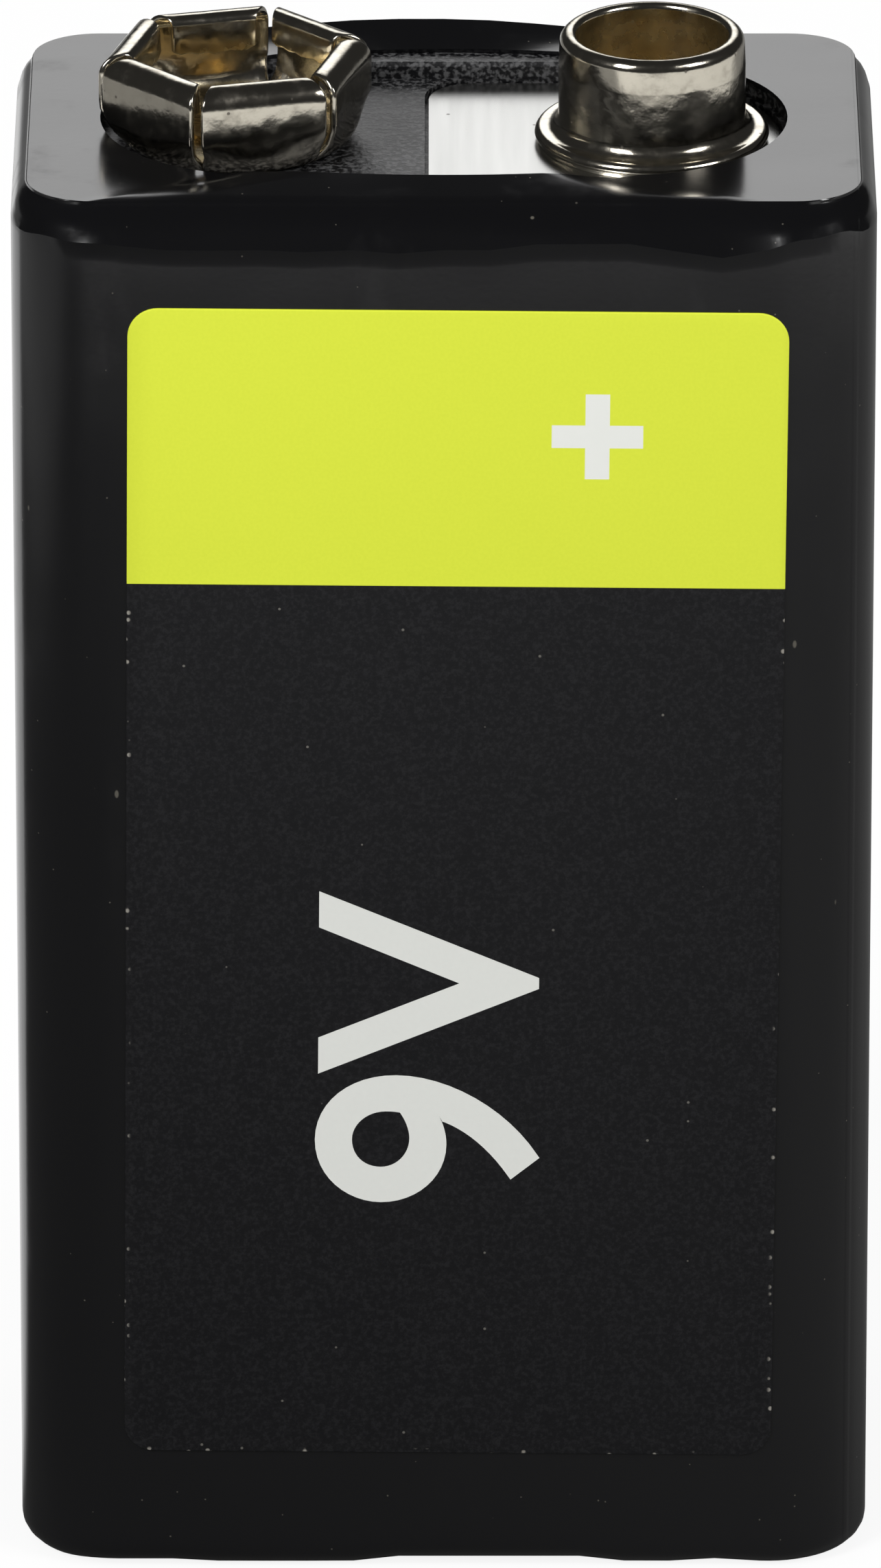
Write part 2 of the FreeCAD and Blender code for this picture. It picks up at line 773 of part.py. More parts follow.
def make_cell_ring(number):
    """Card ring that keeps the link off a cell's crimped edge."""
    name = f"cell_ring_{number}"
    body = new_body(name)
    outline = new_sketch(body, name + "_outline")
    cropped_rectangle(outline, cell_half_width - s.ring_inset, cell_half_depth - s.ring_inset,
                      s.card_crop)
    inner = s.cell_lid_inset - s.ring_play
    cropped_rectangle(outline, cell_half_width - inner, cell_half_depth - inner,
                      s.cell_lid_crop + SLOPE * s.ring_play)
    pad(body, name + "_sheet", outline, s.ring_thick)
    bind(body, "Placement.Base.z", cells_floor + cell_pitch * (number - 1) + can_height)
    return body


def make_link_tab(number):
    """Nickel strip folded from one cell's lid to the base of the cell above it."""
    name = f"link_tab_{number}"
    body = new_body(name)
    side = new_sketch(body, name + "_side", plane="YZ_Plane")
    bend = cell_half_depth + s.link_overhang
    end = bend - s.link_reach
    polygon(side, [
        (end, 0),
        (bend, 0),
        (bend, s.link_gap),
        (end, s.link_gap),
        (end, s.link_gap - s.link_thick),
        (bend - s.link_thick, s.link_gap - s.link_thick),
        (bend - s.link_thick, s.link_thick),
        (end, s.link_thick),
    ])
    pad(body, name + "_strip", side, s.link_width, symmetric=True)
    bind(body, "Placement.Base.z", cells_floor + cell_pitch * number - s.link_gap)
    if number % 2 == 0:
        body.Placement.Rotation = FreeCAD.Rotation(FreeCAD.Vector(0, 0, 1), 180)
    return body


def make_parts():
    parts = [
        make_shrink_sleeve(),
        make_front_label(),
        make_case_shell(),
        make_base_lid(),
        make_contact_plate(),
        make_positive_stud(),
        make_negative_socket(),
        make_rivet("stud_rivet", terminal_x, plate_top + s.stud_sheet),
        make_rivet("socket_rivet", -terminal_x, board + s.socket_sheet),
        make_positive_lead(),
        make_negative_lead(),
        make_base_card(),
        make_top_card(),
        make_side_card(),
    ]
    for number in range(1, CELLS + 1):
        parts.append(make_cell(number))
        parts.append(make_cell_ring(number))
    for number in range(1, CELLS):
        parts.append(make_link_tab(number))
    return parts


def check(parts):
    """Stop with a plain message if any object failed or any piece isn't one sound solid."""
    for item in doc.Objects:
        if {"Invalid", "Error"} & set(item.State):
            raise RuntimeError(f"{item.Name} failed: {item.State}")
    for part in parts:
        shape = part.Shape
        if shape.isNull() or not shape.isValid() or len(shape.Solids) != 1:
            raise RuntimeError(f"{part.Label} is not one sound solid")


parts = make_parts()
doc.recompute()
check(parts)
os.makedirs("parts", exist_ok=True)
for part in parts:
    part.Shape.exportStep(os.path.join("parts", part.Label + ".step"))
    print(part.Label, round(part.Shape.Volume, 2))
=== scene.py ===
import math

import bmesh
import bpy
from bpy.props import FloatProperty, FloatVectorProperty, PointerProperty, StringProperty
from mathutils import Matrix, Vector


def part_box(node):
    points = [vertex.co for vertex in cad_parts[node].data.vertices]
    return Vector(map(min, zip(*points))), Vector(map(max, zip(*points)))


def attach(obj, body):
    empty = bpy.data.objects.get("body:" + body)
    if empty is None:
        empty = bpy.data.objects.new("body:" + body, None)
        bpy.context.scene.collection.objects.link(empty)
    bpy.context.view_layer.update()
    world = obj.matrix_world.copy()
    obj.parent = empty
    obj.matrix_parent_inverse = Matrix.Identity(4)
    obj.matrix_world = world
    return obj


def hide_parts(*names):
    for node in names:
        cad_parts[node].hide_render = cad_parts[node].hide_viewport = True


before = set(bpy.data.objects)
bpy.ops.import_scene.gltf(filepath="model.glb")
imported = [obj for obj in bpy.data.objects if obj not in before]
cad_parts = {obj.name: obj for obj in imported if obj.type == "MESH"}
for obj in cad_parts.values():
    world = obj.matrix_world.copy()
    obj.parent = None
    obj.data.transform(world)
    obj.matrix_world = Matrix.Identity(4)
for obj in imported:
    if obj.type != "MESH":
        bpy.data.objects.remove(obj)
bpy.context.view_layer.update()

# A nine volt block battery: its film, sticker and snap terminals are modelled here over the packed
# solids, and the solids that stay get their finishes. Metres, +Z up, the sticker faces -Y.

bl_info = {
    "name": "Nine volt block",
    "version": (1, 0, 0),
    "blender": (4, 5, 0),
    "location": "View3D > Sidebar > Block",
    "description": "Models a nine volt block's film, sticker and snap terminals",
    "category": "Object",
}

MM = 0.001
ORIGIN = (0, 0, 0)
FILM_LOW, FILM_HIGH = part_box("shrink_sleeve")
LABEL_LOW, LABEL_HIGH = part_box("front_label")
STUD_LOW, STUD_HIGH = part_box("positive_stud")
SOCKET_LOW, SOCKET_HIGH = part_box("negative_socket")
STUD_AXIS = (STUD_LOW + STUD_HIGH) / 2
SOCKET_AXIS = (SOCKET_LOW + SOCKET_HIGH) / 2

NEAR = 0.004 * MM    # vertices are picked this near the place they were drawn to
FLAT_BAND = 0.02 * MM    # what lies this near the flat top or the underside is part of it
COLLAR_LINE = FILM_HIGH.z - 1.2 * MM    # the collar's lower edge, before its waves
COLLAR_STEPS = 10    # rows of faces in the collar's rounding
SEAM = 12.47 * MM    # how far from the middle the film's seam runs
MOUTH_RADIUS = 4.97 * MM    # round ends of the film's mouth
MOUTH_CENTRE = 5.52 * MM    # and how far from the middle they are drawn
MOUTH_BOW = {1: 0.75 * MM, -1: 0.72 * MM}    # how far its long sides bow out, behind and in front
STICKER_WIDE = 20 * MM
STICKER_TALL = 38 * MM
RIVET_HOLE = 1.0 * MM    # radius of the hole in both terminals' floors
HALF_COLUMNS = 5    # columns of faces in half a petal

# Each petal is a little unlike the others: share that it is narrower, degrees that it leans in, and
# millimetres that its lip lies lower.
PETAL_WAYS = (
    (0.0, 0.0, 0.06), (0.01, 0.6, -0.05), (0.03, -0.8, 0.10),
    (0.0, 0.5, -0.02), (-0.005, -0.4, 0.05), (0.0, 0.3, 0.0),
)
PETALS = len(PETAL_WAYS)

# name, place, width and height in metres, and power in watts
LIGHTS = (
    ("left_softbox", (-0.48, -0.515, 0.65), (0.24, 0.44), 5.3),
    ("right_softbox", (0.62, -0.36, 0.60), (0.30, 0.28), 3.05),
)
LIGHT_TARGET = Vector((0, 0, 25 * MM))
FLOOR_SIZE = 4.0
SENSOR_WIDE = 36.0
CLIP_START, CLIP_END = 0.01, 20.0


# ---------------- settings

def length(name, description, millimetres):
    return FloatProperty(name=name, description=description, default=millimetres * MM, unit="LENGTH",
                         precision=6)


def colour(name, description, red, green, blue):
    return FloatVectorProperty(name=name, description=description, default=(red, green, blue),
                               subtype="COLOR", size=3, min=0, max=1)


def angle(name, description, degrees):
    return FloatProperty(name=name, description=description, default=math.radians(degrees),
                         subtype="ANGLE", unit="ROTATION")


class FilmSettings(bpy.types.PropertyGroup):
    corner: length("Corner", "Radius of the upright corners", 3.0)
    collar_tall: length("Collar height", "Height of the rounded collar at the top", 1.12)
    collar_deep: length("Collar depth", "How far the collar's rounding goes in over the top", 1.3)
    collar_side: length("Collar depth at the sides", "The same at the two narrow sides", 0.55)
    collar_proud: length("Collar step", "How far the collar stands out from the walls under it", 0.055)
    foot: length("Foot", "Rounding along the underside", 0.75)
    lap: length("Lap", "Width of film turned under the base", 2.6)
    thick: length("Thickness", "Thickness of the film", 0.12)
    rear_ridge: length("Rear ridge", "How far the film's rear ridge stands up in the middle", 0.48)
    front_lift: length("Front lift", "How far the mouth's front edge stands up in the middle", 0.29)
    tint: colour("Tint", "Colour of the film", 0.0042, 0.0042, 0.0049)


class StickerSettings(bpy.types.PropertyGroup):
    corner: length("Corner", "Radius of the sticker's corners", 0.92)
    turn: angle("Turn", "How far the sticker sits askew", 0.5)
    field_low: length("Field edge", "Lower edge of the coloured field, from the sticker's middle", 10.02)
    sign_x: length("Sign across", "Middle of the plus sign, from the sticker's middle", 4.24)
    sign_z: length("Sign up", "The same, upwards", 14.95)
    sign_reach: length("Sign size", "Half length of the plus sign's bars", 1.385)
    sign_bar: length("Sign bar", "Half width of the plus sign's bars", 0.37)
    word: StringProperty(name="Word", description="The type of the block, printed along it", default="9V")
    word_tall: length("Word height", "Height of the printed word's letters", 6.6)
    field: colour("Field", "Colour of the field", 0.708, 0.791, 0.053)
    ground: colour("Ground", "Colour of the sticker below the field", 0.0086, 0.0086, 0.0096)
    ink: colour("Ink", "Colour of the sign and the word", 0.80, 0.81, 0.77)


class TerminalSettings(bpy.types.PropertyGroup):
    stud_radius: length("Stud radius", "Outside of the stud's wall", 2.86)
    stud_bore: length("Stud bore", "Inside of the stud's wall", 2.31)
    flange_radius: length("Flange radius", "Outside of the stud's bead", 3.58)
    petal_flat: length("Petal distance", "Socket's axis to the outside of a petal", 3.77)
    petal_sheet: length("Petal sheet", "Thickness of the socket's sheet", 0.22)
    petal_turn: angle("Petal turn", "Where the first petal stands", -16)
    nickel: colour("Nickel", "Colour of the terminals", 0.60, 0.56, 0.475)
    gilt: colour("Bore", "Colour inside the terminals", 0.60, 0.48, 0.24)


class StageSettings(bpy.types.PropertyGroup):
    aim: FloatVectorProperty(name="Aim", description="Point that the camera looks at", size=3,
                             default=(-0.101 * MM, 0, 22.946 * MM), subtype="TRANSLATION", unit="LENGTH")
    distance: length("Distance", "From the camera to that point", 609.67)
    elevation: angle("Elevation", "How far the camera looks down", 23.051)
    focal: FloatProperty(name="Focal length", description="Focal length in millimetres", default=452.19)
    floor: colour("Floor", "Colour of the floor", 0.92, 0.92, 0.92)


# ---------------- shader maths

class Wire:
    """A shader socket. Sums and products of wires add the nodes for them."""

    def __init__(self, sheet, socket):
        self.sheet = sheet
        self.socket = socket

    def __add__(self, other):
        return self.sheet.maths("ADD", self, other)

    def __radd__(self, other):
        return self.sheet.maths("ADD", other, self)

    def __sub__(self, other):
        return self.sheet.maths("SUBTRACT", self, other)

    def __rsub__(self, other):
        return self.sheet.maths("SUBTRACT", other, self)

    def __mul__(self, other):
        return self.sheet.maths("MULTIPLY", self, other)

    def __rmul__(self, other):
        return self.sheet.maths("MULTIPLY", other, self)

    def __gt__(self, other):
        return self.sheet.maths("GREATER_THAN", self, other)

    def __lt__(self, other):
        return self.sheet.maths("LESS_THAN", self, other)

    def __abs__(self):
        return self.sheet.maths("ABSOLUTE", self)


class Sheet:
    """The nodes of one material or of the world."""

    def __init__(self, tree):
        self.tree = tree

    def add(self, kind, settings=None, values=None, out=0):
        """A node of one kind with its settings, then its sockets' values or links. Gives one output."""
        node = self.tree.nodes.new(kind)
        for key, value in (settings or {}).items():
            setattr(node, key, value)
        for key, value in (values or {}).items():
            self.join(node.inputs[key], value)
        return Wire(self, node.outputs[out])

    def join(self, socket, value):
        """Links a wire to a socket, or gives the socket a plain value or colour."""
        if isinstance(value, Wire):
            self.tree.links.new(value.socket, socket)
        elif hasattr(value, "__len__") and len(value) == 3 and len(socket.default_value) == 4:
            socket.default_value = (*value, 1)
        else:
            socket.default_value = value

    def maths(self, operation, *values):
        return self.add("ShaderNodeMath", {"operation": operation}, dict(enumerate(values)))

    def vector_maths(self, operation, *values, out=0):
        return self.add("ShaderNodeVectorMath", {"operation": operation}, dict(enumerate(values)), out)

    def place(self):
        return self.add("ShaderNodeTexCoord", out="Object")

    def split(self, where):
        return [self.add("ShaderNodeSeparateXYZ", values={0: where}, out=axis) for axis in range(3)]

    def noise(self, where, scale, detail=3.0, rough=0.5):
        return self.add("ShaderNodeTexNoise", values={"Vector": where, "Scale": scale, "Detail": detail,
                                                      "Roughness": rough})

    def stretch(self, where, across, deep, up):
        return self.vector_maths("MULTIPLY", where, (across, deep, up))

    def fade(self, value, low, high, start=0.0, end=1.0):
        return self.add("ShaderNodeMapRange", {"interpolation_type": "SMOOTHSTEP"},
                        {0: value, 1: low, 2: high, 3: start, 4: end})

    def blend(self, share, first, second):
        """A colour between two, by a share from 0 to 1."""
        return self.add("ShaderNodeMix", {"data_type": "RGBA"}, {0: share, 6: first, 7: second}, out=2)

    def specks(self, where, scale, share, size):
        """1 in small scattered specks, each in its own cell, and 0 elsewhere."""
        cell = {"Vector": where, "Scale": scale}
        near = self.add("ShaderNodeTexVoronoi", values=cell, out="Distance")
        lot = self.add("ShaderNodeSeparateColor", values={
            0: self.add("ShaderNodeTexVoronoi", values=cell, out="Color")})
        return self.fade(near, size * 0.55, size, 1.0, 0.0) * (lot < share)

    def bump(self, height, distance, strength=1.0, under=None):
        values = {"Height": height, "Distance": distance, "Strength": strength}
        if under:
            values["Normal"] = under
        return self.add("ShaderNodeBump", values=values)


class Finish(Sheet):
    """A material with one principled shader."""

    def __init__(self, name, **sockets):
        self.material = bpy.data.materials.new(name)
        self.material.use_nodes = True
        super().__init__(self.material.node_tree)
        self.shader = self.tree.nodes["Principled BSDF"]
        self.set(**sockets)

    def set(self, **sockets):
        names = {"base": "Base Color", "rough": "Roughness", "metal": "Metallic", "normal": "Normal",
                 "ior": "IOR", "specular": "Specular IOR Level"}
        for key, value in sockets.items():
            self.join(self.shader.inputs[names[key]], value)


# ---------------- modelling helpers

def deselect_all():
    bpy.ops.object.select_all(action="DESELECT")


def activate(piece):
    deselect_all()
    piece.select_set(True)
    bpy.context.view_layer.objects.active = piece


def start_edit(piece):
    activate(piece)
    bpy.ops.object.mode_set(mode="EDIT")
    bpy.ops.mesh.select_mode(type="VERT")
    bpy.ops.mesh.select_all(action="DESELECT")


def end_edit():
    bpy.ops.object.mode_set(mode="OBJECT")


def pick(kind, test):
    """Selects the vertices, edges or faces that a test on them passes, and nothing else."""
    bpy.ops.mesh.select_mode(type=kind)
    bpy.ops.mesh.select_all(action="DESELECT")
    mesh = bmesh.from_edit_mesh(bpy.context.edit_object.data)
    items = {"VERT": mesh.verts, "EDGE": mesh.edges, "FACE": mesh.faces}[kind]
    chosen = [item for item in items if test(item)]
    for item in chosen:
        item.select_set(True)
    mesh.select_flush_mode()
    bmesh.update_edit_mesh(bpy.context.edit_object.data)
    return len(chosen)


def ends(edge):
    return edge.verts[0].co, edge.verts[1].co


def pick_all():
    bpy.ops.mesh.select_all(action="SELECT")


def resize(across, deep, up, centre=ORIGIN):
    bpy.ops.transform.resize(value=(across, deep, up), center_override=centre)


def round_off(width, segments):
    """Rounds the edges that are selected."""
    bpy.ops.mesh.bevel(offset=width, segments=segments, profile=0.5, affect="EDGES")


def cut_plane(point, normal):
    pick_all()
    bpy.ops.mesh.bisect(plane_co=point, plane_no=normal)


def move(offset, reach=None):
    """Moves what is selected, and with a reach draws what lies near it along."""
    if reach:
        bpy.ops.transform.translate(value=offset, use_proportional_edit=True, proportional_size=reach,
                                    proportional_edit_falloff="SMOOTH")
    else:
        bpy.ops.transform.translate(value=offset)


def modify(piece, kind, **settings):
    """Adds a modifier and applies it."""
    activate(piece)
    modifier = piece.modifiers.new(kind.title(), kind)
    for key, value in settings.items():
        setattr(modifier, key, value)
    bpy.ops.object.modifier_apply(modifier=modifier.name)


def apply_place(piece):
    activate(piece)
    bpy.ops.object.transform_apply(location=True, rotation=True, scale=True)


def tidy_faces(piece):
    """Joins doubled vertices and turns every face outwards."""
    start_edit(piece)
    pick_all()
    bpy.ops.mesh.remove_doubles(threshold=0.0005 * MM)
    bpy.ops.mesh.normals_make_consistent(inside=False)
    end_edit()


def smooth(piece, degrees):
    activate(piece)
    bpy.ops.object.shade_smooth_by_angle(angle=math.radians(degrees))


def copy_of(piece, name):
    activate(piece)
    bpy.ops.object.duplicate(linked=False)
    twin = bpy.context.active_object
    twin.name = name
    return twin


def join_pieces(pieces):
    deselect_all()
    for piece in pieces:
        piece.select_set(True)
    bpy.context.view_layer.objects.active = pieces[0]
    bpy.ops.object.join()
    return pieces[0]


def settle(piece, name, material, slot, *nodes):
    """Names a finished piece, gives it its material, and puts it on the block in place of its solids."""
    apply_place(piece)
    piece.name = name
    piece.data.name = name
    piece.data.materials.clear()
    piece.data.materials.append(material)
    if nodes:
        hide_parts(*nodes)
    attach(piece, "root")
    return piece


def dress(node, material):
    """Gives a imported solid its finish."""
    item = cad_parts[node]
    item.data.materials.clear()
    item.data.materials.append(material)


def rounded(points, radii, steps=5):
    """An outline with some corners rounded: the points of the arcs in place of each such corner."""
    made = []
    for number, (point, radius) in enumerate(zip(points, radii)):
        corner = Vector(point)
        if not radius:
            made.append(corner)
            continue
        before = (Vector(points[number - 1]) - corner).normalized()
        after = (Vector(points[(number + 1) % len(points)]) - corner).normalized()
        half = before.angle(after) / 2
        start = corner + before * (radius / math.tan(half))
        end = corner + after * (radius / math.tan(half))
        middle = corner + (before + after).normalized() * (radius / math.sin(half))
        first = start - middle
        last = end - middle
        sweep = first.angle(last)
        for step in range(steps + 1):
            share = step / steps
            arm = first * math.sin((1 - share) * sweep) + last * math.sin(share * sweep)
            made.append(middle + arm / math.sin(sweep))
    return made


def lathe(name, axis, section, count):
    """A ring of one closed section of (radius, height) points, drawn up from circle to circle."""
    first = section[0]
    deselect_all()
    bpy.ops.mesh.primitive_circle_add(vertices=count, radius=first[0], fill_type="NOTHING",
                                      location=(axis[0], axis[1], first[1]))
    piece = bpy.context.active_object
    piece.name = name
    apply_place(piece)
    start_edit(piece)
    pick_all()
    before = first
    for point in [*section[1:], first]:
        bpy.ops.mesh.extrude_edges_move()
        grow = point[0] / before[0]
        if abs(grow - 1) > 1e-6:
            resize(grow, grow, 1, (axis[0], axis[1], 0))
        if abs(point[1] - before[1]) > 1e-9:
            move((0, 0, point[1] - before[1]))
        before = point
    end_edit()
    tidy_faces(piece)
    return piece


# ---------------- finishes

def film_finish(settings):
    """Glossy shrunk film: soft waves, a fine grain, rubbed patches, dust and one faint seam."""
    look = Finish("black_film", ior=1.56)
    where = look.place()
    across, deep, up = look.split(where)
    soft = look.noise(where, 95.0, 2.0)
    grain = look.noise(where, 5200.0, 2.0)
    rub = look.noise(look.stretch(where, 1.0, 1.0, 0.35), 420.0, 6.0, 0.65)
    lint = look.specks(look.stretch(where, 1.0, 1.0, 0.5), 1500.0, 0.045, 0.12)
    dust = look.specks(where, 4600.0, 0.03, 0.16)
    seam = look.fade(abs(across - SEAM), 0.03 * MM, 0.12 * MM, 1.0, 0.0)
    sides = look.fade(abs(across), 9.9 * MM, 11.5 * MM)
    marks = look.maths("MAXIMUM", lint * 0.45, dust * 0.35)
    look.set(
        base=look.blend(marks, settings.tint, (0.20, 0.185, 0.15)),
        rough=0.125 + 0.07 * soft + 0.10 * look.fade(rub, 0.52, 0.75) + 0.20 * marks,
        normal=look.bump(grain, 0.0008 * MM, 1.0,
                         look.bump(soft + 0.15 * seam + 0.05 * sides * rub, 0.12 * MM, 0.6)),
    )
    return look.material


def sticker_finish(settings):
    """The printed face: a coloured field with its sign over a speckled ground, and frayed edges."""
    look = Finish("printed_sticker", ior=1.45, specular=0.25)
    turn = settings.turn
    middle = (LABEL_LOW + LABEL_HIGH) / 2
    where = look.place()
    local = look.add("ShaderNodeMapping", {"vector_type": "TEXTURE"},
                     {"Vector": where, "Location": middle, "Rotation": (0, turn, 0)})
    across, deep, up = look.split(local)
    blur = 0.012 * MM
    field = look.fade(up, settings.field_low - blur, settings.field_low + blur)
    side = abs(across - settings.sign_x)
    rise = abs(up - settings.sign_z)

    def inside(value, limit):
        return look.fade(value, limit - blur, limit + blur, 1.0, 0.0)

    def rim(value, half):
        return look.fade(abs(value), half - 0.18 * MM, half - 0.04 * MM)

    long_bar = inside(side, settings.sign_reach) * inside(rise, settings.sign_bar)
    tall_bar = inside(side, settings.sign_bar) * inside(rise, settings.sign_reach)
    sign = look.maths("MAXIMUM", long_bar, tall_bar)
    mottle = look.noise(where, 8200.0, 3.0, 0.7)
    grain = look.noise(where, 9000.0, 2.0)
    edge = look.maths("MAXIMUM", rim(across, STICKER_WIDE / 2), rim(up, STICKER_TALL / 2))
    fibres = look.specks(where, 3400.0, 0.45, 0.30) * edge
    dust = look.specks(where, 2400.0, 0.035, 0.13)
    black = look.blend(look.fade(mottle, 0.42, 0.68), settings.ground, (0.0165, 0.0165, 0.018))
    black = look.blend(look.maths("MAXIMUM", dust * 0.35, fibres * 0.8), black, (0.36, 0.34, 0.30))
    lime = look.blend(look.fade(grain, 0.3, 0.7) * 0.18, settings.field, (0.60, 0.70, 0.035))
    print_colour = look.blend(sign, look.blend(field, black, lime), settings.ink)
    look.set(
        base=print_colour,
        rough=0.42 + 0.12 * mottle,
        normal=look.bump(grain, 0.0016 * MM, 1.0, look.bump(look.noise(where, 160.0, 2.0), 0.03 * MM)),
    )
    return look.material


def ink_finish(settings):
    """Ink that is a little thin in places."""
    look = Finish("white_ink", ior=1.45, specular=0.3)
    where = look.place()
    grain = look.noise(where, 6000.0, 3.0)
    look.set(base=look.blend(grain * 0.3, settings.ink, (0.70, 0.71, 0.68)), rough=0.42 + 0.1 * grain,
             normal=look.bump(grain, 0.001 * MM))
    return look.material


def case_finish():
    """Black plastic with a spark eroded grain, a little worn and dusty."""
    look = Finish("moulded_case", ior=1.5)
    where = look.place()
    grain = look.noise(where, 6600.0, 2.0, 0.5)
    worn = look.noise(where, 520.0, 4.0, 0.6)
    dust = look.specks(where, 1900.0, 0.10, 0.16)
    look.set(
        base=look.blend(dust * 0.8, look.blend(look.fade(grain, 0.42, 0.66), (0.004, 0.004, 0.005),
                                               (0.078, 0.078, 0.080)), (0.24, 0.23, 0.20)),
        rough=0.28 + 0.2 * grain + 0.1 * worn,
        normal=look.bump(grain, 0.022 * MM, 1.0, look.bump(worn, 0.02 * MM)),
    )
    return look.material


def nickel_finish(settings):
    """Drawn nickel plate with small dents, dull patches and a yellow cast inside the terminals."""
    look = Finish("drawn_nickel", metal=1.0)
    where = look.place()
    across, deep, up = look.split(where)
    dents = look.noise(where, 620.0, 2.0)
    peel = look.noise(where, 3200.0, 2.0)
    grain = look.noise(where, 7000.0, 3.0, 0.6)
    patches = look.noise(where, 1300.0, 5.0, 0.65)
    pits = look.specks(where, 2600.0, 0.12, 0.17)

    def distance(axis):
        arm = look.vector_maths("SUBTRACT", where, tuple(axis))
        return look.vector_maths("LENGTH", look.vector_maths("MULTIPLY", arm, (1, 1, 0)), out="Value")

    def within(value, full, none):
        return look.fade(value, full * MM, none * MM, 1.0, 0.0)

    # each terminal's inside, by its distance from the axis and its height in millimetres
    stud_bore = within(distance(STUD_AXIS), 2.38, 2.44) * within(up, 47.2, 47.6)
    socket_bore = within(distance(SOCKET_AXIS), 3.40, 3.55) * within(up, 46.2, 46.6)
    deep_in = look.maths("MAXIMUM", stud_bore, socket_bore)
    tarnish = look.fade(patches, 0.45, 0.72)
    metal = look.blend(tarnish * 0.4, settings.nickel, (0.44, 0.40, 0.33))
    metal = look.blend(pits * 0.7, metal, (0.16, 0.14, 0.12))
    look.set(
        base=look.blend(deep_in * (0.55 + 0.45 * tarnish), metal, settings.gilt),
        rough=0.14 + 0.12 * tarnish + 0.12 * deep_in + 0.15 * pits,
        normal=look.bump(grain, 0.0012 * MM, 1.0, look.bump(dents + 0.12 * peel, 0.05 * MM)),
    )
    return look.material


def plate_finish():
    """Bright sheet, brushed from front to back, with small marks."""
    look = Finish("bright_plate", metal=1.0)
    where = look.place()
    streaks = look.noise(look.stretch(where, 1.0, 0.05, 1.0), 2600.0, 3.0)
    marks = look.specks(where, 1500.0, 0.22, 0.13)
    look.set(
        base=look.blend(marks * 0.6, (0.47, 0.47, 0.458), (0.31, 0.30, 0.28)),
        rough=0.20 + 0.10 * streaks + 0.2 * marks,
        normal=look.bump(streaks, 0.0012 * MM),
    )
    return look.material


def strip_finish(name, tone, rough):
    """Rolled metal with fine lines along its length."""
    look = Finish(name, metal=1.0)
    where = look.place()
    lines = look.noise(look.stretch(where, 0.06, 1.0, 1.0), 5200.0, 3.0)
    stains = look.noise(where, 300.0, 4.0, 0.6)
    darker = tuple(part * 0.72 for part in tone)
    look.set(base=look.blend(look.fade(stains, 0.4, 0.75) * 0.6, tone, darker),
             rough=rough + 0.12 * lines, normal=look.bump(lines, 0.0015 * MM))
    return look.material


def card_finish():
    """Fibrous insulating card."""
    look = Finish("fibre_card", ior=1.4)
    where = look.place()
    fibres = look.noise(look.stretch(where, 1.0, 0.25, 1.0), 2400.0, 5.0, 0.7)
    look.set(base=look.blend(fibres, (0.66, 0.61, 0.49), (0.48, 0.42, 0.31)), rough=0.8,
             normal=look.bump(fibres, 0.012 * MM))
    return look.material


# ---------------- pieces

